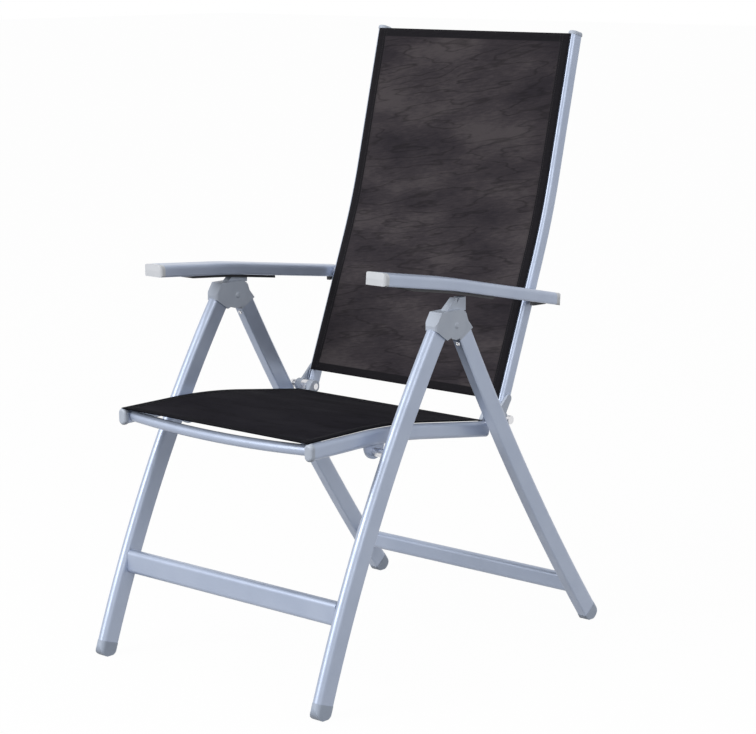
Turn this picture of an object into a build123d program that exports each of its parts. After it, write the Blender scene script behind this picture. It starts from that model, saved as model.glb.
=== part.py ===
from build123d import *
import os
from math import asin, atan2, cos, degrees, hypot, radians, sin

# Reclining garden armchair with a sling seat and back, in millimetres.
# Seen from the front, +X is to the right. -Y is the front and +Z is up.
# Names ending in _l lie at -X and names ending in _r at +X.
# Side views are drawn as (y, z) points with y counted from the leg hinge, and the finished
# chair is moved so that its origin is the middle of its footprint on the ground.

# Legs
leg_track = 524.0
leg_width = 20.0
leg_depth = 38.0
leg_nose_radius = 9.8
leg_corner_radius = 3.0
hinge_height = 619.0
front_leg_top_drop = 12.0
front_leg_top_set = 41.5
front_foot_reach = 340.0
front_leg_bow = 21.5
rear_leg_top_drop = 19.0
rear_leg_top_set = 32.0
rear_foot_reach = 431.0
rear_leg_bow = 13.4
foot_cap_length = 27.0
foot_cap_wall = 0.3
foot_flat_depth = 1.2
cap_wall = 1.2

# Cross bars between the legs
front_bar_height = 42.0
front_bar_depth = 20.0
front_bar_level = 165.0
rear_bar_height = 34.0
rear_bar_depth = 18.0
rear_bar_level = 78.0
bar_corner_radius = 8.0

# Hinge heads: a two-cheek clevis on the front leg and a tongue on the rear leg
head_width = 27.0
cheek_radius = 24.5
tongue_radius = 22.0
tongue_width = 12.0
tongue_spread = 28.0
head_wall = 0.8
head_brow_set = 40.0
head_brow_rise = 26.5
head_nose_set = 55.0
head_nose_rise = 4.0
head_back_run = 14.0
head_back_fall = 5.0
cheek_start_angle = 232.0
cheek_middle_angle = 315.0
head_edge_radius = 6.0
neck_width = 14.0
neck_height = 46.0
neck_rear_set = 32.0
neck_front_set = 19.0
neck_top_length = 26.0
neck_slit_width = 7.0
neck_slit_wall = 3.5
neck_slit_depth = 9.0
crest_set = 30.5
crest_rise = 18.0
crest_waist_set = 35.5
crest_waist_rise = 5.0
rivet_radius = 4.5
rivet_head_radius = 6.0
rivet_head_height = 2.2

# Rails of the seat and back: one oval extrusion with a slot for the sling's edge rod
rail_depth = 28.0
rail_width = 16.0
slot_width = 2.6
keder_channel_radius = 2.9
keder_radius = 2.3
keder_depth = 6.5
rail_bend_radius = 1180.0

# Seat
seat_rail_inset = 39.2
seat_front_reach = 312.0
seat_knee_reach = 111.0
seat_knee_drop = 176.0
seat_front_drop = 177.0
seat_rear_gap = 17.0
seat_rear_dip = 19.5
seat_cap_length = 9.0
seat_sling_rear_gap = 29.0
bow_radius = 9.5
bow_forward = 9.0
bow_dip = 6.0
bow_end_set = 12.0
seat_pivot_drop = 202.0
bracket_thickness = 5.0
bracket_radius = 24.0
pivot_bolt_radius = 5.0
pivot_bolt_head_radius = 8.0
pivot_bolt_head_height = 3.5
pivot_spacer_radius = 7.5
pivot_bolt_depth = 12.0

# Hinge between the seat and the back
back_hinge_drop = 193.0
barrel_radius = 12.0
barrel_inner_inset = 54.5
barrel_outer_inset = 12.0
hinge_pin_radius = 4.5
roller_radius = 7.9
roller_length = 5.5
roller_outset = 4.5
block_tail_radius = 8.0
block_tail_set = 16.0
block_tail_drop = 14.0

# Back
back_rail_inset = 34.0
back_foot_offset = 14.0
back_foot_dip = 2.0
back_knee_offset = 148.8
back_knee_rise = 345.7
back_top_offset = 229.0
back_top_rise = 672.0
back_cap_length = 7.0
back_sling_rise = 25.0
back_bow_drop = 14.0
back_bow_rearward = 14.0
fitting_length = 36.0
fitting_thickness = 5.0
fitting_tip_radius = 7.0

# Slings
sling_thickness = 1.5

# Armrests
armrest_width = 45.0
armrest_height = 22.0
armrest_top_radius = 8.0
armrest_bottom_radius = 4.0
armrest_tip_set = 203.0
armrest_tip_rise = 66.5
armrest_knee_set = 17.0
armrest_knee_rise = 52.0
armrest_end_gap = 124.0
armrest_end_rise = 14.0
armrest_bend_radius = 900.0
armrest_front_cap = 11.0
armrest_rear_cap = 15.0
armrest_tip_radius = 6.0
armrest_end_radius = 8.0
armrest_hollow_width = 24.0
armrest_roof = 5.0
armrest_lift_degrees = 4.3
arm_pivot_rise = 17.0
arm_bolt_radius = 5.0
arm_bolt_head_radius = 10.0
arm_bolt_head_height = 5.5
arm_nut_height = 4.0

# Multiples: cutting boxes as shares of what they cut, and how many parts share the barrel's width
bow_cut_share = 6
armrest_cut_share = 3
barrel_width_parts = 3
arm_nut_radius = 5.6
arm_sleeve_radius = 8.0
lug_width = 8.0
lug_drop = 7.0
lug_tip_drop = 0.8
lug_front_gap = 13.0
lug_rear_gap = 24.0

# Notched rail under each armrest
notch_rail_length = 243.0
notch_rail_front_set = 140.0
notch_rail_taper = 27.0
notch_rail_tip_drop = 1.6
notch_rail_thickness = 3.0
notch_rail_drop = 5.0
notch_lip_height = 4.0
notch_pitch = 26.0
notch_tooth_width = 9.0
notch_gap_height = 6.0

# Fits
running_clearance = 0.05
body_clearance = 0.3
side_clearance = 0.25
cut_overrun = 5.0

# Shares of a size
shank_share = 0.3
rivet_top_share = 0.5
dome_share = 0.6

# Derived places
leg_x = leg_track / 2
leg_inner_x = leg_x - leg_width / 2
leg_outer_x = leg_x + leg_width / 2
seat_rail_x = leg_x - seat_rail_inset
back_rail_x = leg_x - back_rail_inset
seat_rail_track = 2 * seat_rail_x
back_rail_track = 2 * back_rail_x
barrel_inner_x = leg_x - barrel_inner_inset
barrel_outer_x = leg_x - barrel_outer_inset
hinge = (0.0, hinge_height)


def side_point(x, place):
    """A space point from an x value and a side view place (y, z)."""
    return Vector(x, place[0], place[1])


def polar(place, distance, angle):
    """The side view place at a distance and an angle in degrees from another place."""
    return (place[0] + distance * cos(radians(angle)), place[1] + distance * sin(radians(angle)))


def plate(face, inner_x, outer_x):
    """A side view face made solid between two x values."""
    return Pos(inner_x, 0, 0) * extrude(Plane.YZ * face, outer_x - inner_x)


def rod(place, radius, inner_x, outer_x):
    """A round bar along X about a side view place."""
    return plate(Pos(*place) * Circle(radius), inner_x, outer_x)


def outline(*places):
    """A flat face bounded by straight lines through side view places."""
    return make_face(Polyline(*places, close=True))


def capsule(start, start_radius, end, end_radius):
    """The flat hull of two circles, such as an eye with a tapering tail."""
    run = hypot(end[0] - start[0], end[1] - start[1])
    heading = degrees(atan2(end[1] - start[1], end[0] - start[0]))
    lean = degrees(asin((start_radius - end_radius) / run))
    side = 90 - lean
    corners = [
        polar(start, start_radius, heading + side),
        polar(end, end_radius, heading + side),
        polar(end, end_radius, heading - side),
        polar(start, start_radius, heading - side),
    ]
    body = outline(*corners)
    return body + Pos(*start) * Circle(start_radius) + Pos(*end) * Circle(end_radius)


def section_plane(path):
    """The plane across the start of a path, its x along X."""
    return Plane(origin=path @ 0, x_dir=(1, 0, 0), z_dir=path % 0)


def run_along(section, path):
    """A section swept along a side view path."""
    return sweep(section_plane(path) * section, path=path)


# Legs


def leg_circle(top, foot, bow):
    """Centre, radius and end angles of the arc that a bowed leg follows."""
    chord = hypot(foot[0] - top[0], foot[1] - top[1])
    radius = (chord * chord / 4 + bow * bow) / (2 * bow)
    middle = ((top[0] + foot[0]) / 2, (top[1] + foot[1]) / 2)
    across = ((top[1] - foot[1]) / chord, (foot[0] - top[0]) / chord)
    centre = (middle[0] + across[0] * (radius - bow), middle[1] + across[1] * (radius - bow))
    start = degrees(atan2(top[1] - centre[1], top[0] - centre[0])) % 360
    end = degrees(atan2(foot[1] - centre[1], foot[0] - centre[0])) % 360
    return centre, radius, start, end


def leg_path(circle, start_trim, end_trim):
    """The leg's arc, shortened by a length at the top and another at the foot."""
    centre, radius, start, end = circle
    first = start + degrees(start_trim / radius)
    last = end - degrees(end_trim / radius)
    points = [side_point(0, polar(centre, radius, angle)) for angle in (first, (first + last) / 2, last)]
    return ThreePointArc(*points)


def leg_place(circle, level, behind=0):
    """The place at a height above the ground on a leg's arc, or on one that runs a distance behind it."""
    centre, radius, start, end = circle
    reach = radius - behind
    return (centre[0] - reach * cos(asin((level - centre[1]) / reach)), level)


def leg_section(grow, nose):
    """A D shaped section, round on the side that nose (1 or -1) points to."""
    half_width = leg_width / 2 + grow
    half_depth = leg_depth / 2 + grow
    face = Rectangle(2 * half_width, 2 * half_depth)
    corners = face.vertices().sort_by(Axis.Y)
    face = fillet(corners[2:], leg_nose_radius + grow / 2)
    corners = face.vertices().sort_by(Axis.Y)
    face = fillet(corners[:2], leg_corner_radius)
    return face if nose > 0 else Rot(0, 0, 180) * face


front_leg_top = (-front_leg_top_set, hinge_height - front_leg_top_drop)
rear_leg_top = (rear_leg_top_set, hinge_height - rear_leg_top_drop)
front_circle = leg_circle(front_leg_top, (-front_foot_reach, 0), front_leg_bow)
rear_circle = leg_circle(rear_leg_top, (rear_foot_reach, 0), rear_leg_bow)
seat_pivot = leg_place(front_circle, hinge_height - seat_pivot_drop)
back_hinge = leg_place(
    rear_circle,
    hinge_height - back_hinge_drop,
    leg_depth / 2 + body_clearance + roller_radius,
)


def leg(circle, nose):
    """One leg tube from its head down to its foot cap."""
    tube = run_along(leg_section(0, nose), leg_path(circle, 0, foot_cap_length))
    return Pos(leg_x, 0, 0) * tube


def foot_cap(circle, nose):
    """The plastic shoe that closes a leg, round in side view with a small flat on the ground."""
    reach = leg_path(circle, 0, foot_cap_length)
    low = leg_path(circle, reach.length, -leg_depth)
    shoe = Pos(leg_x, 0, 0) * run_along(leg_section(foot_cap_wall, nose), low)
    radius = leg_depth / 2 + foot_cap_wall
    toe = leg_place(circle, radius - foot_flat_depth)
    heel = leg_place(circle, leg_depth + foot_cap_length)
    rounded = shoe & plate(
        capsule(heel, radius, toe, radius), leg_inner_x - cut_overrun, leg_outer_x + cut_overrun
    )
    base = outline(
        (toe[0] - leg_depth, 0),
        (toe[0] + leg_depth, 0),
        (toe[0] + leg_depth, -leg_depth),
        (toe[0] - leg_depth, -leg_depth),
    )
    return rounded - plate(base, leg_inner_x - cut_overrun, leg_outer_x + cut_overrun)


def front_leg():
    """The front leg tube with the blind hole of the seat pivot bolt."""
    depth = leg_inner_x + pivot_bolt_depth + side_clearance
    hole = rod(seat_pivot, pivot_bolt_radius + running_clearance, leg_inner_x - cut_overrun, depth)
    return leg(front_circle, 1) - hole


# Hinge heads

neck_root = tongue_radius + 2 * running_clearance
head_inner_x = leg_x - head_width / 2
head_outer_x = leg_x + head_width / 2


def leg_end_heading(circle):
    """Direction in degrees in which a leg's arc leaves its top."""
    return circle[2] + 90


leg_heading = leg_end_heading(front_circle)
rear_heading = leg_end_heading(rear_circle)


def head_outline():
    """Side view of the front head: cheek disc, brow, slanted nose and the seam on the leg."""
    seam_rear = polar(front_leg_top, leg_depth / 2 + head_wall, leg_heading + 90)
    seam_front = polar(front_leg_top, leg_depth / 2 + head_wall, leg_heading - 90)
    brow = (-head_brow_set, hinge_height + head_brow_rise)
    nose = (-head_nose_set, hinge_height + head_nose_rise)
    crown = (cheek_radius - head_back_run, hinge_height + head_brow_rise)
    shoulder = (cheek_radius, hinge_height + head_brow_rise - head_back_fall)
    low = polar(hinge, cheek_radius, cheek_start_angle)
    rear = (cheek_radius, hinge_height)
    return make_face([
        Line(rear, shoulder),
        Line(shoulder, crown),
        Line(crown, brow),
        Line(brow, nose),
        Line(nose, seam_front),
        Line(seam_front, seam_rear),
        Line(seam_rear, low),
        ThreePointArc(low, polar(hinge, cheek_radius, cheek_middle_angle), rear),
    ])


def neck():
    """The upright blade on the front head, with a slanted front and an open slit in its top."""
    top = hinge_height + neck_height
    root = hinge_height + neck_root
    brow = hinge_height + head_brow_rise
    top_front = neck_rear_set - neck_top_length
    slit_front = top_front + neck_slit_wall
    blade = outline(
        (-neck_front_set, root),
        (-neck_front_set, brow),
        (top_front, top),
        (neck_rear_set, top),
        (neck_rear_set, root),
    )
    slit = outline(
        (slit_front, top),
        (slit_front, top + cut_overrun),
        (slit_front + neck_slit_width, top + cut_overrun),
        (slit_front + neck_slit_width, top),
        (slit_front - neck_slit_wall / 2, top - neck_slit_depth),
    )
    whole_blade = plate(blade, leg_x - neck_width / 2, leg_x + neck_width / 2)
    return whole_blade - plate(slit, head_inner_x, head_outer_x)


def front_head():
    """The clevis that caps the front leg, holds the rivet and carries the neck."""
    body = plate(head_outline(), head_inner_x, head_outer_x)
    plan_length = cheek_radius + head_nose_set
    plan = Pos(leg_x, cheek_radius - plan_length / 2) * Rectangle(head_width, plan_length)
    plan = fillet(plan.vertices().sort_by(Axis.Y)[:2], head_edge_radius)
    body = body & extrude(plan, 2 * hinge_height)
    slot_inner = leg_x - tongue_width / 2 - side_clearance
    slot_outer = leg_x + tongue_width / 2 + side_clearance
    slot = rod(hinge, neck_root, slot_inner, slot_outer)
    open_side = outline(
        (-neck_root, hinge_height),
        (-neck_root, hinge_height - 2 * leg_depth),
        (2 * leg_depth, hinge_height - 2 * leg_depth),
        (2 * leg_depth, hinge_height),
    )
    body = body - slot - plate(open_side, slot_inner, slot_outer)
    bore = rod(
        hinge, rivet_radius + running_clearance, head_inner_x - cut_overrun, head_outer_x + cut_overrun
    )
    return body + neck() - bore


def rear_head():
    """The rear leg's head: a tongue between the cheeks and a crescent behind them."""
    reach = cheek_radius + 2 * body_clearance
    seam_rear = polar(rear_leg_top, leg_depth / 2, rear_heading + 90)
    seam_front = polar(rear_leg_top, leg_depth / 2, rear_heading - 90)
    shell = outline(
        (reach, hinge_height + crest_rise),
        (crest_set, hinge_height + crest_rise),
        (crest_waist_set, hinge_height + crest_waist_rise),
        seam_rear,
        seam_front,
        polar(hinge, tongue_radius, rear_heading),
        hinge,
        (reach, hinge_height),
    )
    side = plate(shell, leg_inner_x, leg_outer_x)
    side = side - rod(hinge, reach, leg_inner_x - cut_overrun, leg_outer_x + cut_overrun)
    tongue_face = Pos(*hinge) * Circle(tongue_radius) + outline(
        polar(hinge, tongue_radius, rear_tongue_angle + tongue_spread),
        polar(hinge, tongue_radius, rear_tongue_angle - tongue_spread),
        polar(rear_leg_top, leg_depth * shank_share, rear_heading - 90),
        polar(rear_leg_top, leg_depth * shank_share, rear_heading + 90),
    )
    tongue = plate(tongue_face, leg_x - tongue_width / 2, leg_x + tongue_width / 2)
    bore = rod(hinge, rivet_radius + running_clearance, leg_inner_x - cut_overrun, leg_outer_x + cut_overrun)
    return side + tongue - bore


rear_tongue_angle = degrees(atan2(-rear_leg_top_drop, rear_leg_top_set))


def hinge_rivet():
    """The domed rivet through both heads."""
    reach = head_width / 2
    shank = rod(hinge, rivet_radius, leg_x - reach, leg_x + reach)
    for side in (-1, 1):
        head = Cone(
            rivet_head_radius,
            rivet_head_radius * rivet_top_share,
            rivet_head_height,
            align=(Align.CENTER, Align.CENTER, Align.MIN),
        )
        head = Pos(leg_x + side * reach, 0, hinge_height) * Rot(0, side * 90, 0) * head
        shank = shank + head
    return shank


# Cross bars


def cross_bar(place, height, depth):
    """A rounded flat bar between the inner faces of two legs."""
    face = Pos(*place) * RectangleRounded(depth, height, bar_corner_radius)
    return plate(face, -leg_inner_x, leg_inner_x)


# Rails and slings


def rail_path(near, knee, far, x):
    """A side view path of two straight runs with one gentle bend, from far to near."""
    corners = (side_point(x, far), side_point(x, knee), side_point(x, near))
    return FilletPolyline(*corners, radius=rail_bend_radius)


def rail_section():
    """The oval rail section with the slot and channel for the sling's edge rod."""
    oval = Rot(0, 0, 90) * SlotOverall(rail_depth, rail_width)
    channel = Pos(0, rail_depth / 2 - keder_depth) * Circle(keder_channel_radius)
    mouth = Rectangle(slot_width, keder_depth + cut_overrun)
    mouth = Pos(0, (rail_depth - keder_depth + cut_overrun) / 2) * mouth
    return oval - channel - mouth


def along(start, end, distance):
    """The place at a distance from start towards end."""
    run = hypot(end[0] - start[0], end[1] - start[1])
    return (start[0] + (end[0] - start[0]) * distance / run, start[1] + (end[1] - start[1]) * distance / run)


seat_front = (-seat_front_reach, hinge_height - seat_front_drop)
seat_knee = (-seat_knee_reach, hinge_height - seat_knee_drop)
seat_rear = (back_hinge[0] - seat_rear_gap, back_hinge[1] - seat_rear_dip)
back_foot = (back_hinge[0] + back_foot_offset, back_hinge[1] - back_foot_dip)
back_knee = (back_hinge[0] + back_knee_offset, back_hinge[1] + back_knee_rise)
back_top = (back_hinge[0] + back_top_offset, back_hinge[1] + back_top_rise)


def seat_rail():
    """The right seat rail, its slot facing up."""
    return run_along(rail_section(), rail_path(seat_front, seat_knee, seat_rear, seat_rail_x))


def back_rail():
    """The right back rail, its slot facing the sitter, scalloped round the hinge barrel."""
    rail = run_along(rail_section(), rail_path(back_foot, back_knee, back_top, back_rail_x))
    start = back_rail_x - rail_width
    end = back_rail_x + rail_width
    scallop = rod(back_hinge, barrel_radius + body_clearance, start, end)
    bolt_hole = rod(arm_pivot, arm_bolt_radius + running_clearance, start, end)
    return rail - scallop - bolt_hole


def sling(track, near, knee, far):
    """A taut sling lying on two rails with its edges turned down into their slots."""
    top = rail_depth / 2 + body_clearance
    web = Pos(0, top + sling_thickness / 2) * Rectangle(track + sling_thickness, sling_thickness)
    edge_depth = body_clearance + keder_depth - keder_radius - body_clearance
    for side in (-1, 1):
        edge_middle = top + sling_thickness - (sling_thickness + edge_depth) / 2
        web = web + Pos(side * track / 2, edge_middle) * Rectangle(
            sling_thickness, sling_thickness + edge_depth)
    return run_along(web, rail_path(near, knee, far, 0))


def keder(x, near, knee, far):
    """The round rod that holds one edge of a sling in its rail."""
    rod_face = Pos(0, rail_depth / 2 - keder_depth) * Circle(keder_radius)
    return run_along(rod_face, rail_path(near, knee, far, x))


def rail_cap(path, length):
    """A domed plug that closes the end of a rail, at the start of a path."""
    plane = section_plane(path)
    face = Rot(0, 0, 90) * SlotOverall(rail_depth + 2 * cap_wall, rail_width + 2 * cap_wall)
    cap = extrude(plane * face, -length)
    tip = max(cap.faces(), key=lambda flat: (flat.center() - (path @ 1)).length)
    return fillet(tip.edges(), length * dome_share)


sling_rear = along(seat_rear, seat_knee, seat_sling_rear_gap - seat_rear_gap)
back_sling_foot = along(back_foot, back_knee, back_sling_rise + back_foot_dip)


def place_at_level(start, end, level):
    """The place on a straight line at a given height."""
    share = (level - start[1]) / (end[1] - start[1])
    return (start[0] + (end[0] - start[0]) * share, level)


arm_pivot = place_at_level(back_foot, back_knee, hinge_height + arm_pivot_rise)


def bow(place, track, rearward, dip):
    """A round tube bowed between two rails."""
    reach = track / 2 - rail_width / 2
    path = ThreePointArc(
        Vector(-reach, place[0], place[1]),
        Vector(0, place[0] + rearward, place[1] - dip),
        Vector(reach, place[0], place[1]),
    )
    ends = Box(2 * reach, bow_cut_share * rail_depth, bow_cut_share * rail_depth)
    tube = sweep(Plane(origin=path @ 0, z_dir=path % 0) * Circle(bow_radius), path=path)
    return tube & (Pos(0, place[0], place[1]) * ends)


# Seat pivot

bracket_inner_x = seat_rail_x - bracket_thickness / 2
bracket_outer_x = seat_rail_x + bracket_thickness / 2


def seat_bracket():
    """The rounded hanger plate under the seat rail."""
    centre = (seat_pivot[0], seat_knee[1] - rail_depth / 2)
    lobe = plate(Pos(*centre) * Circle(bracket_radius), bracket_inner_x, bracket_outer_x)
    above = outline(
        (centre[0] - rail_depth, seat_knee[1]),
        (centre[0] + rail_depth, seat_knee[1]),
        (centre[0] + rail_depth, seat_knee[1] + rail_depth),
        (centre[0] - rail_depth, seat_knee[1] + rail_depth),
    )
    hole_radius = pivot_bolt_radius + running_clearance
    hole = rod(seat_pivot, hole_radius, seat_rail_x - rail_width, seat_rail_x + rail_width)
    return lobe - plate(above, bracket_inner_x, bracket_outer_x) - seat_rail() - hole


def seat_pivot_bolt():
    """The bolt through the bracket and the front leg, with its spacer collar."""
    inner = bracket_inner_x - side_clearance
    shank = rod(seat_pivot, pivot_bolt_radius, inner, leg_inner_x + pivot_bolt_depth)
    head = rod(seat_pivot, pivot_bolt_head_radius, inner - pivot_bolt_head_height, inner)
    collar = rod(seat_pivot, pivot_spacer_radius, bracket_outer_x + side_clearance, leg_inner_x)
    return shank + head + collar


# Hinge between seat and back

sleeve_inner_x = barrel_inner_x + (barrel_outer_x - barrel_inner_x) / barrel_width_parts
sleeve_outer_x = back_rail_x + rail_width / 2 - side_clearance


def seat_hinge_block():
    """The plastic eye beside the rear end of the seat rail."""
    tail = (back_hinge[0] - block_tail_set, back_hinge[1] - block_tail_drop)
    flank_outline = capsule(back_hinge, barrel_radius, tail, block_tail_radius)
    flank = plate(flank_outline, barrel_inner_x, seat_rail_x - rail_width / 2)
    eye = rod(back_hinge, barrel_radius, barrel_inner_x, sleeve_inner_x - side_clearance)
    bore = rod(back_hinge, hinge_pin_radius + running_clearance, barrel_inner_x - cut_overrun, leg_outer_x)
    return flank + eye - bore


def seat_hinge_pin():
    """The pin of the seat and back hinge, with the roller that rests behind the rear leg."""
    outer = leg_x + roller_outset
    shank = rod(back_hinge, hinge_pin_radius, barrel_inner_x - rivet_head_height, outer)
    head = rod(back_hinge, rivet_head_radius, barrel_inner_x - rivet_head_height, barrel_inner_x)
    roller = rod(back_hinge, roller_radius, outer - roller_length, outer)
    return shank + head + roller


def back_hinge_sleeve():
    """The loose middle barrel on the hinge pin."""
    barrel = rod(back_hinge, barrel_radius, sleeve_inner_x, sleeve_outer_x)
    bore = rod(back_hinge, hinge_pin_radius + running_clearance, sleeve_inner_x - cut_overrun, leg_outer_x)
    return barrel - bore


def back_hinge_fitting():
    """The plastic strap on the outer side of the back rail with the outer barrel."""
    inner = back_rail_x + rail_width / 2
    tip = along(back_foot, back_knee, fitting_length)
    strap_outline = capsule(back_hinge, barrel_radius, tip, fitting_tip_radius)
    strap = plate(strap_outline, inner, inner + fitting_thickness)
    barrel = rod(back_hinge, barrel_radius, inner, barrel_outer_x)
    bore_radius = hinge_pin_radius + running_clearance
    bore = rod(back_hinge, bore_radius, inner - cut_overrun, barrel_outer_x + cut_overrun)
    return strap + barrel - bore


# Armrests

armrest_x = leg_x
armrest_tip = (-armrest_tip_set, hinge_height + armrest_tip_rise)
armrest_knee = (-armrest_knee_set, hinge_height + armrest_knee_rise)
armrest_end = (back_hinge[0] + armrest_end_gap, hinge_height + armrest_end_rise)


def armrest_path():
    """The gently arched run of an armrest, from its rear end to its front tip."""
    return FilletPolyline(
        side_point(armrest_x, armrest_end),
        side_point(armrest_x, armrest_knee),
        side_point(armrest_x, armrest_tip),
        radius=armrest_bend_radius,
    )


def armrest_section():
    """The rounded outer section of an armrest, its upper side towards +Y."""
    face = Rectangle(armrest_width, armrest_height)
    face = fillet(face.vertices().sort_by(Axis.Y)[2:], armrest_top_radius)
    return fillet(face.vertices().sort_by(Axis.Y)[:2], armrest_bottom_radius)


def slab(start, end):
    """A tall block over the whole width of an armrest between two y values."""
    block = Box(2 * armrest_width, end - start, hinge_height, align=(Align.CENTER, Align.MIN, Align.CENTER))
    return Pos(armrest_x, start, armrest_knee[1]) * block


def armrest_bar():
    """The whole armrest as one plain bar."""
    return run_along(armrest_section(), armrest_path())


def armrest_groove():
    """The long hollow under an armrest that the neck and the notched rail go into."""
    depth = armrest_height - armrest_roof
    face = Rectangle(armrest_hollow_width, depth + cut_overrun)
    return run_along(Pos(0, (depth - armrest_height - cut_overrun) / 2) * face, armrest_path())


def tip_shape(start, end, radius, front):
    """A plan view block with two rounded corners at one end."""
    low = armrest_end[1] - armrest_cut_share * armrest_height
    high = armrest_tip[1] + armrest_cut_share * armrest_height
    plan = Pos(armrest_x, (start + end) / 2) * Rectangle(armrest_width, end - start)
    corners = plan.vertices().sort_by(Axis.Y)
    corners = corners[:2] if front else corners[2:]
    plan = fillet(corners, radius)
    return extrude(Plane.XY.offset(low) * plan, high - low)


armrest_front_seam = armrest_tip[0] + armrest_front_cap
armrest_rear_seam = armrest_end[0] - armrest_rear_cap


def armrest_front_cap_piece():
    """The rounded plastic end at the front of an armrest."""
    return armrest_bar() & tip_shape(armrest_tip[0], armrest_front_seam, armrest_tip_radius, True)


def armrest_rear_cap_piece():
    """The short plastic end behind the back rail."""
    limit = armrest_end[0] - body_clearance
    return armrest_bar() & tip_shape(armrest_rear_seam, limit, armrest_end_radius, False)


def armrest_profile():
    """The extruded middle of an armrest, open below."""
    bar = armrest_bar() & slab(armrest_front_seam, armrest_rear_seam)
    hollow_inner_x = armrest_x - armrest_hollow_width / 2
    bore = rod(arm_pivot, arm_sleeve_radius + running_clearance, armrest_x - armrest_width, hollow_inner_x)
    return bar - armrest_groove() - bore


def armrest_level(y, run_start, run_end):
    """Height of an armrest's middle line over y, on one of its straight runs."""
    return run_start[1] + (y - run_start[0]) * (run_end[1] - run_start[1]) / (run_end[0] - run_start[0])


def notch_rail(side):
    """One comb shaped side plate of the notched rail, inside the armrest's hollow."""
    high = armrest_height / 2 - armrest_roof
    low = -armrest_height / 2 - notch_rail_drop
    strip = Rectangle(notch_rail_thickness, high - low)
    strip = Pos(side * (armrest_hollow_width - notch_rail_thickness) / 2, (high + low) / 2) * strip
    start = -notch_rail_front_set
    run = run_along(strip, armrest_path()) & slab(start, start + notch_rail_length)
    taper_end = start + notch_rail_taper
    tip_level = armrest_level(start, armrest_tip, armrest_knee) - armrest_height / 2 - notch_rail_tip_drop
    full_level = armrest_level(taper_end, armrest_tip, armrest_knee) + low
    under = outline(
        (start - cut_overrun, tip_level),
        (start, tip_level),
        (taper_end, full_level),
        (taper_end, full_level - armrest_height),
        (start - cut_overrun, full_level - armrest_height),
    )
    run = run - plate(under, armrest_x - armrest_width, armrest_x + armrest_width)
    slope = degrees(atan2(armrest_end[1] - armrest_knee[1], armrest_end[0] - armrest_knee[0]))
    window = Box(2 * armrest_width, notch_pitch - notch_tooth_width, notch_gap_height)
    first = armrest_knee[0]
    count = int((start + notch_rail_length - notch_tooth_width - first) // notch_pitch)
    for index in range(count):
        y = first + (index + 1) * notch_pitch - notch_tooth_width
        z = armrest_level(y, armrest_knee, armrest_end) + low + notch_lip_height + notch_gap_height / 2
        run = run - Pos(armrest_x, y, z) * Rot(slope, 0, 0) * window
    return run


def armrest_lug():
    """The dark wedge under the rear of an armrest, beside its pivot."""
    inner = armrest_x - armrest_width / 2 + armrest_bottom_radius
    front = arm_pivot[0] - lug_front_gap
    rear = arm_pivot[0] + lug_rear_gap
    wedge = outline(
        (front, arm_pivot[1]),
        (front, armrest_level(front, armrest_knee, armrest_end) - armrest_height / 2 - lug_drop),
        (rear, armrest_level(rear, armrest_knee, armrest_end) - armrest_height / 2 - lug_tip_drop),
        (rear, arm_pivot[1]),
    )
    return plate(wedge, inner, inner + lug_width) - armrest_bar()


def arm_bolt():
    """The bolt that joins an armrest to the back rail."""
    rail_inner = back_rail_x - rail_width / 2
    inner = rail_inner - side_clearance
    nut_x = armrest_x - armrest_hollow_width / 2 + side_clearance
    shank = rod(arm_pivot, arm_bolt_radius, inner, nut_x)
    head = rod(arm_pivot, arm_bolt_head_radius, inner - arm_bolt_head_height, inner)
    nut = rod(arm_pivot, arm_nut_radius, nut_x, nut_x + arm_nut_height)
    return shank + head + nut


def arm_sleeve():
    """The bush on the armrest bolt, between the rail and the armrest's inner wall."""
    inner = back_rail_x + rail_width / 2 + side_clearance
    outer = armrest_x - armrest_hollow_width / 2
    bush = rod(arm_pivot, arm_sleeve_radius, inner, outer)
    bore_radius = arm_bolt_radius + running_clearance
    return bush - rod(arm_pivot, bore_radius, inner - cut_overrun, outer + cut_overrun)


def lifted(solid):
    """A right hand armrest piece swung up about its pivot, out of its notch."""
    pivot = side_point(0, arm_pivot)
    return Pos(*pivot) * Rot(-armrest_lift_degrees, 0, 0) * Pos(*(-pivot)) * solid


# The chair

nodes = {}


def keep(name, solid):
    """Remember one node."""
    nodes[name] = solid


def keep_pair(name, solid):
    """Remember a right hand node and its mirror image on the left."""
    keep(name + "_r", solid)
    keep(name + "_l", mirror(solid, about=Plane.YZ))


def keep_armrest(name, solid):
    """Remember a left armrest piece in its notch and a right one lifted out of it."""
    keep(name + "_r", lifted(solid))
    keep(name + "_l", mirror(solid, about=Plane.YZ))


keep_pair("front_leg", front_leg())
keep_pair("front_foot_cap", foot_cap(front_circle, 1))
keep_pair("front_hinge_head", front_head())
keep_pair("hinge_rivet", hinge_rivet())
keep("front_crossbar", cross_bar(leg_place(front_circle, front_bar_level), front_bar_height, front_bar_depth))
keep_pair("seat_pivot_bolt", seat_pivot_bolt())

keep_pair("rear_leg", leg(rear_circle, -1))
keep_pair("rear_leg_head", rear_head())
keep_pair("rear_foot_cap", foot_cap(rear_circle, -1))
keep("rear_crossbar", cross_bar(leg_place(rear_circle, rear_bar_level), rear_bar_height, rear_bar_depth))

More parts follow.
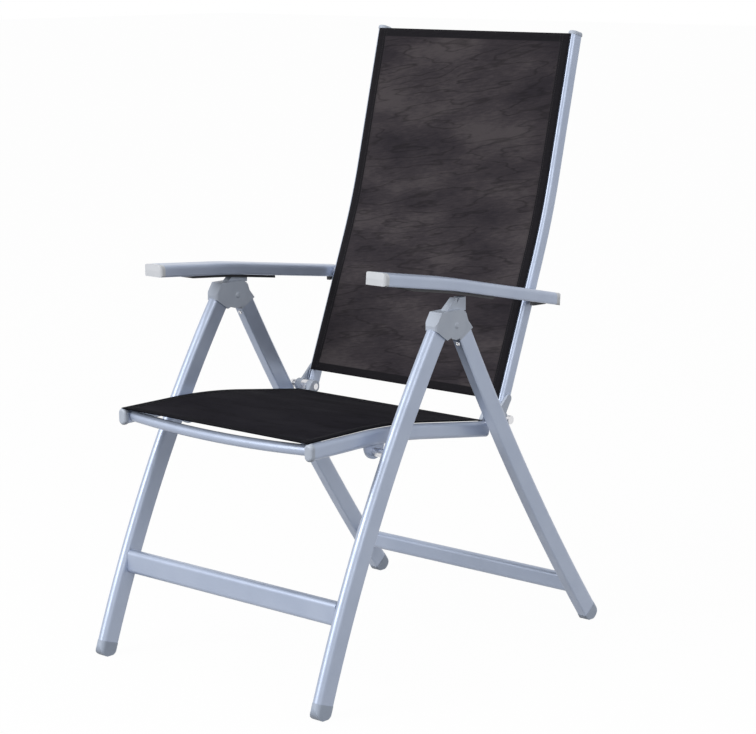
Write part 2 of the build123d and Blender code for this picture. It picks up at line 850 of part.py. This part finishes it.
keep_pair("seat_rail", seat_rail())
keep_pair("seat_bracket", seat_bracket())
keep_pair("seat_hinge_block", seat_hinge_block())
keep_pair("seat_hinge_pin", seat_hinge_pin())
front_path = rail_path(seat_rear, seat_knee, seat_front, seat_rail_x)
keep_pair("seat_end_cap", rail_cap(front_path, seat_cap_length))
bow_place = along(seat_front, seat_knee, bow_end_set)
keep("seat_front_bow", bow(bow_place, seat_rail_track, -bow_forward, bow_dip))
keep("seat_sling", sling(seat_rail_track, seat_front, seat_knee, sling_rear))
keep_pair("seat_keder", keder(seat_rail_x, seat_front, seat_knee, sling_rear))

keep_pair("back_hinge_sleeve", back_hinge_sleeve())

keep_pair("back_rail", back_rail())
keep_pair("back_hinge_fitting", back_hinge_fitting())
top_path = rail_path(back_foot, back_knee, back_top, back_rail_x)
keep_pair("back_top_cap", rail_cap(top_path, back_cap_length))
keep("back_top_bow", bow(along(back_top, back_knee, back_bow_drop), back_rail_track, back_bow_rearward, 0))
keep("back_sling", sling(back_rail_track, back_sling_foot, back_knee, back_top))
keep_pair("back_keder", keder(back_rail_x, back_sling_foot, back_knee, back_top))

keep_pair("armrest_bolt", arm_bolt())
keep_pair("armrest_sleeve", arm_sleeve())
keep_armrest("armrest_profile", armrest_profile())
keep_armrest("armrest_front_cap", armrest_front_cap_piece())
keep_armrest("armrest_rear_cap", armrest_rear_cap_piece())
keep_armrest("armrest_notch_rail_inner", notch_rail(-1))
keep_armrest("armrest_notch_rail_outer", notch_rail(1))
keep_armrest("armrest_lug", armrest_lug())

# The origin goes to the middle of the footprint, at the ground

front_edge = min(solid.bounding_box().min.Y for solid in nodes.values())
rear_edge = max(solid.bounding_box().max.Y for solid in nodes.values())
centre_shift = -(front_edge + rear_edge) / 2

os.makedirs("parts", exist_ok=True)
for name, solid in nodes.items():
    export_step(Pos(0, centre_shift, 0) * solid, "parts/" + name + ".step")

print("shift", centre_shift)
print("hinge", 0, centre_shift, hinge_height)
print("seat pivot", seat_pivot[0] + centre_shift, seat_pivot[1])
print("back hinge", back_hinge[0] + centre_shift, back_hinge[1])
print("armrest pivot", arm_pivot[0] + centre_shift, arm_pivot[1])
print("roller radius", roller_radius)
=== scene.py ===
import bpy
import numpy as np
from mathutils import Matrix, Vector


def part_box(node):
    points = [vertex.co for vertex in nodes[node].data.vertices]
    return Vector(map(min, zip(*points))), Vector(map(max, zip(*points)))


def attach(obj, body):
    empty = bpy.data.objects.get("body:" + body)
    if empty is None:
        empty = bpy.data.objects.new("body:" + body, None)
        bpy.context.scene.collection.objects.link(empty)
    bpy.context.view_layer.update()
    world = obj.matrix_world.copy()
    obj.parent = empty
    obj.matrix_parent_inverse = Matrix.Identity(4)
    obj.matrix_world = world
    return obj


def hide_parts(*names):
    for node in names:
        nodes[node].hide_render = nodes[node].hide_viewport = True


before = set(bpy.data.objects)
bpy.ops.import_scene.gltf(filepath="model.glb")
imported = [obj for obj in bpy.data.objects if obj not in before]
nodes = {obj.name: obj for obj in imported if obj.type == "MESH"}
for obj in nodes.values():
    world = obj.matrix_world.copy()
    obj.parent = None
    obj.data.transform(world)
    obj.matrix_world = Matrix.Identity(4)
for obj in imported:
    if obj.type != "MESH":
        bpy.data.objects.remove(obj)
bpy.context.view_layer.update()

# Looks of the reclining garden armchair. All lengths are in metres.

# The leg hinge and the back's hinge, which the camera, the slings and the screws are placed from
hinge_low, hinge_high = (np.array(corner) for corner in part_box("hinge_rivet_r"))
hinge = (hinge_low + hinge_high) / 2
pivot_low, pivot_high = (np.array(corner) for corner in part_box("back_hinge_sleeve_r"))
back_pivot = (pivot_low + pivot_high) / 2

# Camera, fitted to the photograph
camera_place = (2.6271, hinge[1] - 2.9168, 1.2483)
camera_azimuth = 40.938
camera_elevation = 10.609
camera_lens = 105.76
camera_sensor = 36.0

# Sling runs, in side view (y, z), with the bend where the two straight parts meet
seat_run = dict(
    near=(hinge[1] - 0.320, hinge[2] - 0.177),
    knee=(hinge[1] - 0.111, hinge[2] - 0.176),
    far=(back_pivot[1] - 0.029, back_pivot[2] - 0.01786),
)
back_run = dict(
    near=(back_pivot[1] + 0.0243, back_pivot[2] + 0.0246),
    knee=(back_pivot[1] + 0.1488, back_pivot[2] + 0.3457),
    far=(back_pivot[1] + 0.229, back_pivot[2] + 0.672),
)
rail_bend = 1.18
rail_half_depth = 0.014
sling_gap = 0.0003
sling_thickness = 0.0014
seat_width = 0.4456
back_width = 0.456
middle_dip = 0.0022
rows_along = 120
columns_across = 61

# Hems: their widths, how much they raise the cloth, and the points that catch the step
side_hem = 0.018
end_hem = 0.026
hem_height = 0.0007
hem_softness = 0.0005
hem_step_reach = 0.0021
hem_step_points = 7

# Stitches: two rows, one within the side hem and one past it
row_within = 0.0035
row_past = 0.0025
stitch_margin = 0.006
stitch_pitch = 0.0042
stitch_length = 0.0031
thread_radius = 0.00045
thread_end_turn = 0.15

# Screws on the rear legs, below the heads, in the hinge's side view
screw_radius = 0.0042
screw_height = 0.0022
screw_offset = 0.262
screw_behind_hinge = 0.0198
screw_below_hinge = 0.036
screw_normal = (0, -0.871, -0.490)
screw_tip_share = 0.02
recess_arm_share = 0.13
recess_reach_share = 0.62
recess_depth_share = 0.45

# Stage and lights
floor_half = 30.0
floor_colour = (0.90, 0.90, 0.90, 1)
floor_glow_share = 0.97
soft_light = 0.54
lamp_aim = (0, 0, 0.5)
key_place = (-1.2, -4.0, 2.5)
key_size = 2.6
key_power = 135
fill_place = (4.0, -1.2, 2.2)
fill_size = 2.4
fill_power = 45

# Cloth looks: slant of the patches, threads of the weave and the tones, dark to light
patch_slant = 0.16
weave_scale = 150
back_tones = ((0.026, 0.022, 0.028), (0.046, 0.039, 0.045), (0.074, 0.064, 0.069))
back_hem_tone = (0.010, 0.009, 0.012)
back_shine = 0.12
seat_tones = ((0.009, 0.008, 0.012), (0.013, 0.012, 0.017), (0.018, 0.017, 0.022))
seat_hem_tone = (0.008, 0.008, 0.011)
seat_shine = 0.02


# Camera, stage and lights


def add_camera():
    """The camera at the photograph's angle."""
    data = bpy.data.cameras.new("view")
    data.lens = camera_lens
    data.sensor_width = camera_sensor
    data.clip_end = 100
    camera = bpy.data.objects.new("view", data)
    camera.location = camera_place
    camera.rotation_euler = np.radians((90 - camera_elevation, 0, camera_azimuth))
    bpy.context.collection.objects.link(camera)
    bpy.context.scene.camera = camera


def add_lamp(name, place, aim, size, power):
    """A square soft box that faces a point."""
    data = bpy.data.lights.new(name, "AREA")
    data.size = size
    data.energy = power
    lamp = bpy.data.objects.new(name, data)
    lamp.location = place
    away = np.array(place) - np.array(aim)
    flat = np.hypot(away[0], away[1])
    lamp.rotation_euler = (np.arctan2(flat, away[2]), 0, np.arctan2(away[0], -away[1]))
    bpy.context.collection.objects.link(lamp)


def seen_directly(tree):
    """1 for camera, glossy and transmission rays, or else 0."""
    seen = tree.nodes.new("ShaderNodeLightPath")
    value = seen.outputs["Is Camera Ray"]
    for name in ("Is Glossy Ray", "Is Transmission Ray"):
        most = tree.nodes.new("ShaderNodeMath")
        most.operation = "MAXIMUM"
        tree.links.new(value, most.inputs[0])
        tree.links.new(seen.outputs[name], most.inputs[1])
        value = most.outputs[0]
    return value


def add_world():
    """White behind the object, and plain soft light on it."""
    world = bpy.data.worlds.new("studio")
    world.use_nodes = True
    tree = world.node_tree
    tree.nodes.clear()
    strength = tree.nodes.new("ShaderNodeMapRange")
    strength.inputs["To Min"].default_value = soft_light
    strength.inputs["To Max"].default_value = 1.0
    tree.links.new(seen_directly(tree), strength.inputs["Value"])
    light = tree.nodes.new("ShaderNodeBackground")
    light.inputs["Color"].default_value = (1, 1, 1, 1)
    tree.links.new(strength.outputs["Result"], light.inputs["Strength"])
    out = tree.nodes.new("ShaderNodeOutputWorld")
    tree.links.new(light.outputs[0], out.inputs["Surface"])
    bpy.context.scene.world = world


def add_floor():
    """A pale floor that keeps the object's soft shadow."""
    mesh = bpy.data.meshes.new("floor")
    corners = [(x * floor_half, y * floor_half, 0) for x, y in ((-1, -1), (1, -1), (1, 1), (-1, 1))]
    mesh.from_pydata(corners, [], [(0, 1, 2, 3)])
    floor = bpy.data.objects.new("floor", mesh)
    bpy.context.collection.objects.link(floor)
    material = bpy.data.materials.new("pale_floor")
    material.use_nodes = True
    tree = material.node_tree
    tree.nodes.clear()
    paint = tree.nodes.new("ShaderNodeBsdfDiffuse")
    paint.inputs["Color"].default_value = floor_colour
    glow = tree.nodes.new("ShaderNodeEmission")
    glow.inputs["Color"].default_value = (1, 1, 1, 1)
    tree.links.new(seen_directly(tree), glow.inputs["Strength"])
    both = tree.nodes.new("ShaderNodeMixShader")
    both.inputs["Fac"].default_value = floor_glow_share
    out = tree.nodes.new("ShaderNodeOutputMaterial")
    tree.links.new(paint.outputs[0], both.inputs[1])
    tree.links.new(glow.outputs[0], both.inputs[2])
    tree.links.new(both.outputs[0], out.inputs["Surface"])
    mesh.materials.append(material)


# Materials


class Finish:
    """A material with one main shader, and short calls that add its nodes."""

    def __init__(self, name, colour, roughness, metallic=0.0):
        self.material = bpy.data.materials.new(name)
        self.material.use_nodes = True
        self.tree = self.material.node_tree
        self.shader = self.tree.nodes["Principled BSDF"]
        self.shader.inputs["Base Color"].default_value = (*colour, 1)
        self.shader.inputs["Roughness"].default_value = roughness
        self.shader.inputs["Metallic"].default_value = metallic
        self.coords = self.tree.nodes.new("ShaderNodeTexCoord")

    def node(self, kind, **settings):
        """A new node with some of its settings."""
        made = self.tree.nodes.new(kind)
        for key, value in settings.items():
            setattr(made, key, value)
        return made

    def link(self, output, target):
        """A wire between two sockets."""
        self.tree.links.new(output, target)

    def placed(self, source, scale=(1, 1, 1), turn=0.0):
        """The source coordinates stretched by a scale on each axis, then turned about the third."""
        mapping = self.node("ShaderNodeMapping")
        mapping.inputs["Scale"].default_value = scale
        mapping.inputs["Rotation"].default_value = (0, 0, turn)
        self.link(source, mapping.inputs["Vector"])
        return mapping.outputs["Vector"]

    def noise(self, scale, stretch=(1, 1, 1), detail=3.0, source="Object", slant=0.0):
        """Cloudy noise on the object's own coordinates, stretched along axes that are slanted first."""
        texture = self.node("ShaderNodeTexNoise")
        texture.inputs["Scale"].default_value = scale
        texture.inputs["Detail"].default_value = detail
        slanted = self.placed(self.coords.outputs[source], turn=-slant)
        self.link(self.placed(slanted, stretch), texture.inputs["Vector"])
        return texture.outputs["Fac"]

    def ramp(self, value, *stops):
        """A value turned into a colour through stops of (place, colour)."""
        made = self.node("ShaderNodeValToRGB")
        made.color_ramp.elements[0].position = stops[0][0]
        made.color_ramp.elements[0].color = (*stops[0][1], 1)
        made.color_ramp.elements[1].position = stops[-1][0]
        made.color_ramp.elements[1].color = (*stops[-1][1], 1)
        for place, colour in stops[1:-1]:
            made.color_ramp.elements.new(place).color = (*colour, 1)
        self.link(value, made.inputs["Fac"])
        return made.outputs["Color"]

    def span(self, value, low, high, to_low, to_high):
        """A value moved from one range to another."""
        made = self.node("ShaderNodeMapRange")
        for key, number in (("From Min", low), ("From Max", high), ("To Min", to_low), ("To Max", to_high)):
            made.inputs[key].default_value = number
        self.link(value, made.inputs["Value"])
        return made.outputs["Result"]

    def maths(self, operation, *values):
        """One sum of numbers or outputs."""
        made = self.node("ShaderNodeMath", operation=operation)
        for socket, value in zip(made.inputs, values):
            if isinstance(value, (int, float)):
                socket.default_value = value
            else:
                self.link(value, socket)
        return made.outputs[0]

    def bump(self, height, distance, strength=1.0):
        """Fine relief from a height value."""
        made = self.node("ShaderNodeBump")
        made.inputs["Distance"].default_value = distance
        made.inputs["Strength"].default_value = strength
        self.link(height, made.inputs["Height"])
        self.link(made.outputs["Normal"], self.shader.inputs["Normal"])

    def colour_from(self, output):
        """The base colour taken from an output."""
        self.link(output, self.shader.inputs["Base Color"])

    def roughness_from(self, output):
        """The roughness taken from an output."""
        self.link(output, self.shader.inputs["Roughness"])


def frame_paint(name, light, dark):
    """Satin powder coat: fine orange peel, faint mottling and a little uneven gloss."""
    finish = Finish(name, light, 0.38, 0.35)
    finish.shader.inputs["Coat Weight"].default_value = 0.25
    finish.shader.inputs["Coat Roughness"].default_value = 0.3
    finish.colour_from(finish.ramp(finish.noise(14, detail=2), (0.3, dark), (0.7, light)))
    finish.roughness_from(finish.span(finish.noise(45), 0.3, 0.7, 0.32, 0.46))
    finish.bump(finish.noise(900, detail=1), 0.00006, 0.5)
    return finish.material


def moulded_plastic(name, light, dark, roughness):
    """Moulded plastic with a fine spark-eroded grain."""
    finish = Finish(name, light, roughness)
    finish.colour_from(finish.ramp(finish.noise(25, detail=2), (0.3, dark), (0.7, light)))
    finish.roughness_from(finish.span(finish.noise(160), 0.3, 0.7, roughness - 0.06, roughness + 0.08))
    finish.bump(finish.noise(1600, detail=1), 0.00008, 0.5)
    return finish.material


def bright_steel():
    """Turned zinc plated steel with fine ring marks."""
    finish = Finish("bright_steel", (0.72, 0.72, 0.74), 0.28, 1.0)
    finish.roughness_from(finish.span(finish.noise(300), 0.3, 0.7, 0.2, 0.4))
    finish.bump(finish.noise(700, (1, 1, 6), 1), 0.00004, 0.5)
    return finish.material


def sling_cloth(name, tones, hem_tone, shine, width, length):
    """Open coated weave: two crossing sets of threads on the cloth's own map, in slanted cloudy patches.

    tones holds the dark, middle and light colours of the patches, and thin darker lines of painted crease
    shade run between them where a stretched noise crosses even levels. The side hems and the end hems have
    the hem tone.
    The map is in metres, across from the middle and along from the near end.
    """
    finish = Finish(name, tones[1], 0.85)
    finish.shader.inputs["Sheen Weight"].default_value = shine / 3
    finish.shader.inputs["Specular IOR Level"].default_value = shine
    broad = finish.noise(5.0, (1.0, 2.4, 1), 4, "UV", patch_slant)
    fine = finish.noise(60, (1, 5, 1), 3, "UV", patch_slant)
    flow = finish.maths("ADD", finish.maths("MULTIPLY", broad, 0.75), finish.maths("MULTIPLY", fine, 0.25))
    dark, middle, light = tones
    patches = finish.ramp(flow, (0.38, dark), (0.50, middle), (0.60, light))
    # Painted shade in folds: the colour is multiplied down to 0.62 in thin lines where the fold noise
    # crosses even levels
    folds = finish.noise(2.6, (0.9, 5.2, 1), 4, "UV", patch_slant)
    crease_shade = finish.span(finish.maths("PINGPONG", folds, 0.050), 0.0, 0.012, 0.62, 1.0)
    crease_shaded = finish.node("ShaderNodeMix", data_type="RGBA", blend_type="MULTIPLY")
    crease_shaded.inputs["Factor"].default_value = 1.0
    finish.link(patches, crease_shaded.inputs["A"])
    finish.link(crease_shade, crease_shaded.inputs["B"])
    tone = crease_shaded.outputs["Result"]
    parts = finish.node("ShaderNodeSeparateXYZ")
    finish.link(finish.coords.outputs["UV"], parts.inputs[0])
    inward = finish.maths("SUBTRACT", width / 2 - side_hem, finish.maths("ABSOLUTE", parts.outputs["X"]))
    from_middle = finish.maths("ABSOLUTE", finish.maths("SUBTRACT", parts.outputs["Y"], length / 2))
    upward = finish.maths("SUBTRACT", length / 2 - end_hem * 0.6, from_middle)
    inside = finish.span(finish.maths("MINIMUM", inward, upward), -0.0006, 0.0006, 0, 1)
    hemmed = finish.node("ShaderNodeMix", data_type="RGBA")
    finish.link(inside, hemmed.inputs["Factor"])
    hemmed.inputs["A"].default_value = (*hem_tone, 1)
    finish.link(tone, hemmed.inputs["B"])
    threads = []
    for direction in ("X", "Y"):
        wave = finish.node("ShaderNodeTexWave", wave_type="BANDS", bands_direction=direction)
        wave.inputs["Scale"].default_value = weave_scale
        wave.inputs["Distortion"].default_value = 0.6
        finish.link(finish.coords.outputs["UV"], wave.inputs["Vector"])
        threads.append(wave.outputs["Fac"])
    weave = finish.maths("MULTIPLY", threads[0], threads[1])
    shade = finish.node("ShaderNodeMix", data_type="RGBA", blend_type="MULTIPLY")
    shade.inputs["Factor"].default_value = 0.35
    finish.link(hemmed.outputs["Result"], shade.inputs["A"])
    finish.link(finish.ramp(weave, (0.0, (0.45, 0.45, 0.45)), (0.5, (1, 1, 1))), shade.inputs["B"])
    finish.colour_from(shade.outputs["Result"])
    finish.roughness_from(finish.span(fine, 0.3, 0.7, 0.78, 0.92))
    finish.bump(weave, 0.0003, 0.6)
    return finish.material


def sewing_thread():
    """Twisted thread with fine slanting turns."""
    finish = Finish("sewing_thread", (0.012, 0.011, 0.014), 0.7)
    turns = finish.noise(2600, (1, 1, 0.3), 1)
    finish.colour_from(finish.ramp(turns, (0.35, (0.008, 0.008, 0.010)), (0.65, (0.022, 0.020, 0.024))))
    finish.bump(turns, 0.00005, 0.5)
    return finish.material


def dress(material, *names):
    """Give CAD nodes a finish."""
    for name in names:
        for slot in nodes[name].material_slots:
            slot.material = material


# Surfaces


def add_mesh(name, points, faces, material, body, uv=None):
    """A mesh object from an array of points and lists of faces, riding on a CAD body."""
    mesh = bpy.data.meshes.new(name)
    mesh.from_pydata(points.tolist(), [], faces)
    if uv is not None:
        layer = mesh.uv_layers.new(name="cloth")
        index = np.empty(len(mesh.loops), dtype=np.int32)
        mesh.loops.foreach_get("vertex_index", index)
        layer.data.foreach_set("uv", uv[index].astype(np.float32).ravel())
    mesh.materials.append(material)
    mesh.shade_smooth()
    piece = bpy.data.objects.new(name, mesh)
    bpy.context.collection.objects.link(piece)
    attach(piece, body)
    return piece


def grid_faces(rows, columns):
    """Quads over a grid of rows by columns."""
    corner = np.arange((rows - 1) * columns).reshape(rows - 1, columns)[:, :-1].ravel()
    return np.stack([corner, corner + 1, corner + columns + 1, corner + columns], axis=1).tolist()


def bent_run(near, knee, far, bend, shares):
    """Points, upward normals and the whole length of two straight runs joined by an arc of radius bend.

    The arc touches each run at bend times the tangent of half the turn from the knee. Shares of the
    whole length fall on the first run, on the arc or on the last run.
    """
    near, knee, far = (np.array(p, float) for p in (near, knee, far))
    first_length = np.linalg.norm(knee - near)
    last_length = np.linalg.norm(far - knee)
    first = (knee - near) / first_length
    last = (far - knee) / last_length
    turn = np.arctan2(first[0] * last[1] - first[1] * last[0], first @ last)
    touch = bend * np.tan(abs(turn) / 2)
    lengths = np.array([first_length - touch, bend * abs(turn), last_length - touch])
    place = shares * lengths.sum()
    side = np.sign(turn)
    normal = np.array([-first[1], first[0]]) * side
    centre = knee - first * touch + normal * bend
    angle = np.clip((place - lengths[0]) / bend, 0, abs(turn)) * side
    ray = -normal[None] * bend
    arc = np.stack([
        ray[:, 0] * np.cos(angle) - ray[:, 1] * np.sin(angle),
        ray[:, 0] * np.sin(angle) + ray[:, 1] * np.cos(angle),
    ], axis=1) + centre
    before = np.clip(place, None, lengths[0])[:, None] * first + near
    after = np.clip(place - lengths[0] - lengths[1], 0, None)[:, None] * last
    on_first = (place <= lengths[0])[:, None]
    points = np.where(on_first, before, arc + after)
    heading = np.arctan2(first[1], first[0]) + angle
    return points, np.stack([-np.sin(heading), np.cos(heading)], axis=1), lengths.sum()


def stepped(length, count, places):
    """Even places along a length, with some close ones round each place where the height steps."""
    close = np.linspace(-hem_step_reach, hem_step_reach, hem_step_points)
    every = [np.linspace(0, length, count)] + [place + close for place in places]
    return np.unique(np.concatenate(every))


def hem_rise(inward, hem):
    """Height of a doubled hem: the full height over one plus a power of e, stepping at the hem's width."""
    return hem_height / (1 + np.exp((inward - hem) / hem_softness))


def sling_surface(run, width, across, along):
    """Space points and normals of the taut cloth's middle at places across and along it.

    The cloth follows its run, is lifted by its hems and dips a little in its middle. The dip falls off
    as the squared cosine across the cloth and as the root of the sine along it.
    """
    length = run_length(run)
    line, normal, _ = bent_run(run["near"], run["knee"], run["far"], rail_bend, along / length)
    ends = hem_rise(np.minimum(along, length - along), end_hem)
    sides = hem_rise(width / 2 - np.abs(across), side_hem)
    wide_share = np.cos(across / width * np.pi) ** 2
    long_share = np.sin(np.clip(along / length, 0, 1) * np.pi) ** 0.5
    dip = middle_dip * wide_share * long_share
    height = rail_half_depth + sling_gap + sling_thickness / 2 + np.maximum(ends, sides) - dip
    raised = line + normal * height[:, None]
    points = np.stack([across, raised[:, 0], raised[:, 1]], axis=1)
    normals = np.stack([np.zeros_like(across), normal[:, 0], normal[:, 1]], axis=1)
    return points, normals


def run_length(run):
    """Length of a sling along its run."""
    return float(bent_run(run["near"], run["knee"], run["far"], rail_bend, np.zeros(1))[2])


def add_stitches(name, run, width, material, body):
    """Two rows of stitches along each side hem.

    Each stitch is a six sided thread that swells in its middle as the root of the sine along it, rises
    as that sine and dives into the cloth at both ends.
    """
    length = run_length(run)
    starts = np.arange(stitch_margin, length - stitch_margin, stitch_pitch)
    insets = (side_hem - row_within, side_hem + row_past)
    rows = [side * (width / 2 - inset) for side in (-1, 1) for inset in insets]
    steps, sides = 5, 6
    share = np.linspace(0, 1, steps)
    angle = np.arange(sides) * 2 * np.pi / sides
    row, start, part, turn = np.meshgrid(rows, starts, share, angle, indexing="ij")
    along = (start + part * stitch_length).ravel()
    points, normals = sling_surface(run, width, row.ravel(), along)
    swell = np.sin(thread_end_turn + part.ravel() * (np.pi - 2 * thread_end_turn))
    thick = thread_radius * swell ** 0.5
    rise = sling_thickness / 2 + thread_radius * (np.sin(part.ravel() * np.pi) - 0.5)
    points = points + normals * (rise + thick * np.sin(turn.ravel()))[:, None]
    points[:, 0] += thick * np.cos(turn.ravel())
    first = np.arange(len(rows) * len(starts))[:, None, None] * steps * sides
    ring = np.arange(steps - 1)[None, :, None] * sides
    corner = np.arange(sides)[None, None, :]
    following = (corner + 1) % sides
    base = first + ring
    after = base + sides
    walls = np.stack([base + corner, after + corner, after + following, base + following], axis=-1)
    near_ends = first[:, 0] + np.arange(sides)
    far_ends = near_ends[:, ::-1] + (steps - 1) * sides
    faces = walls.reshape(-1, 4).tolist() + near_ends.tolist() + far_ends.tolist()
    piece = add_mesh(name, points, faces, material, body)
    return piece


def add_sling(name, run, width, material, body, replaced):
    """A taut sling: one sheet over two rails with doubled hems along all its edges."""
    length = run_length(run)
    along = stepped(length, rows_along, (end_hem, length - end_hem))
    across = stepped(width, columns_across, (side_hem, width - side_hem)) - width / 2
    rows, columns = len(along), len(across)
    wide, deep = np.meshgrid(across, along)
    points, _ = sling_surface(run, width, wide.ravel(), deep.ravel())
    uv = np.stack([wide.ravel(), deep.ravel()], axis=1)
    piece = add_mesh(name, points, grid_faces(rows, columns), material, body, uv)
    wall = piece.modifiers.new("wall", "SOLIDIFY")
    wall.thickness = sling_thickness
    wall.offset = 0
    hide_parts(replaced)
    return piece


def add_screw(name, place, normal, material, body):
    """A pan head screw: radius falls from the rim to the top as a quarter ellipse, with a cross recess."""
    rings, spokes = 15, 48
    level = np.linspace(0, 1, rings)
    dome = level * np.pi / 2
    tip = screw_radius * screw_tip_share
    radius = np.concatenate([[screw_radius], screw_radius * np.cos(dome)[:-1], [tip]])
    rise = np.concatenate([[-screw_height], screw_height * np.sin(dome)[:-1], [screw_height]])
    angle = np.arange(spokes) * 2 * np.pi / spokes
    flat_x = radius[:, None] * np.cos(angle)
    flat_y = radius[:, None] * np.sin(angle)
    arm = np.minimum(np.abs(flat_x), np.abs(flat_y)) < screw_radius * recess_arm_share
    inner = radius[:, None] < screw_radius * recess_reach_share
    height = rise[:, None] - screw_height * recess_depth_share * (arm & inner)
    out = np.array(normal) / np.linalg.norm(normal)
    side = np.array([1.0, 0.0, 0.0])
    up = np.cross(out, side)
    points = np.array(place) + flat_x[..., None] * side + flat_y[..., None] * up + height[..., None] * out
    points = points.reshape(-1, 3)
    index = np.arange(len(radius) * spokes).reshape(len(radius), spokes)
    after = np.roll(index, -1, axis=1)
    walls = np.stack([index[:-1], after[:-1], after[1:], index[1:]], axis=-1).reshape(-1, 4)
    faces = walls.tolist() + [index[0][::-1].tolist(), index[-1].tolist()]
    piece = add_mesh(name, points, faces, material, body)
    return piece


# The chair

add_camera()
add_world()
add_floor()
add_lamp("key", key_place, lamp_aim, key_size, key_power)
add_lamp("fill", fill_place, lamp_aim, fill_size, fill_power)
bpy.context.scene.view_settings.view_transform = "Standard"

silver = frame_paint("silver_powder_coat", (0.45, 0.515, 0.655), (0.41, 0.475, 0.615))
arm_silver = frame_paint("armrest_coat", (0.46, 0.525, 0.665), (0.42, 0.485, 0.625))
cap_grey = moulded_plastic("cap_grey", (0.66, 0.68, 0.72), (0.60, 0.62, 0.66), 0.42)
head_silver = moulded_plastic("head_silver", (0.49, 0.54, 0.63), (0.45, 0.50, 0.59), 0.45)
foot_silver = moulded_plastic("foot_silver", (0.44, 0.50, 0.61), (0.40, 0.46, 0.57), 0.5)
dark_plastic = moulded_plastic("dark_plastic", (0.05, 0.05, 0.055), (0.035, 0.035, 0.04), 0.5)
steel = bright_steel()
thread = sewing_thread()
back_length, seat_length = run_length(back_run), run_length(seat_run)
back_cloth = sling_cloth("back_cloth", back_tones, back_hem_tone, back_shine, back_width, back_length)
seat_cloth = sling_cloth("seat_cloth", seat_tones, seat_hem_tone, seat_shine, seat_width, seat_length)

# The first entry with a word in the node's name gives its finish, and tubes and bars have the frame's
finishes = (
    (foot_silver, ("foot_cap",)),
    (head_silver, ("hinge_head", "leg_head", "end_cap", "top_cap", "hinge_block", "fitting", "rivet")),
    (steel, ("bolt", "pin", "sleeve")),
    (dark_plastic, ("lug", "notch_rail", "keder")),
    (cap_grey, ("armrest_front_cap", "armrest_rear_cap")),
    (arm_silver, ("armrest_profile",)),
)
for name in nodes:
    if "sling" not in name:
        named = [material for material, words in finishes if any(word in name for word in words)]
        dress((named + [silver])[0], name)

slings = (
    ("seat", seat_run, seat_width, seat_cloth),
    ("back", back_run, back_width, back_cloth),
)
for part, run, width, cloth in slings:
    body = part + "_frame"
    sling = part + "_sling"
    stitches = add_stitches(part + "_stitches", run, width, thread, body)
    add_sling(part + "_cloth_sheet", run, width, cloth, body, sling)

outward = np.sign(hinge[0])
for side, middle in (("r", outward * screw_offset), ("l", -outward * screw_offset)):
    place = (middle, hinge[1] + screw_behind_hinge, hinge[2] - screw_below_hinge)
    add_screw("leg_screw_" + side, place, screw_normal, steel, "rear_frame")
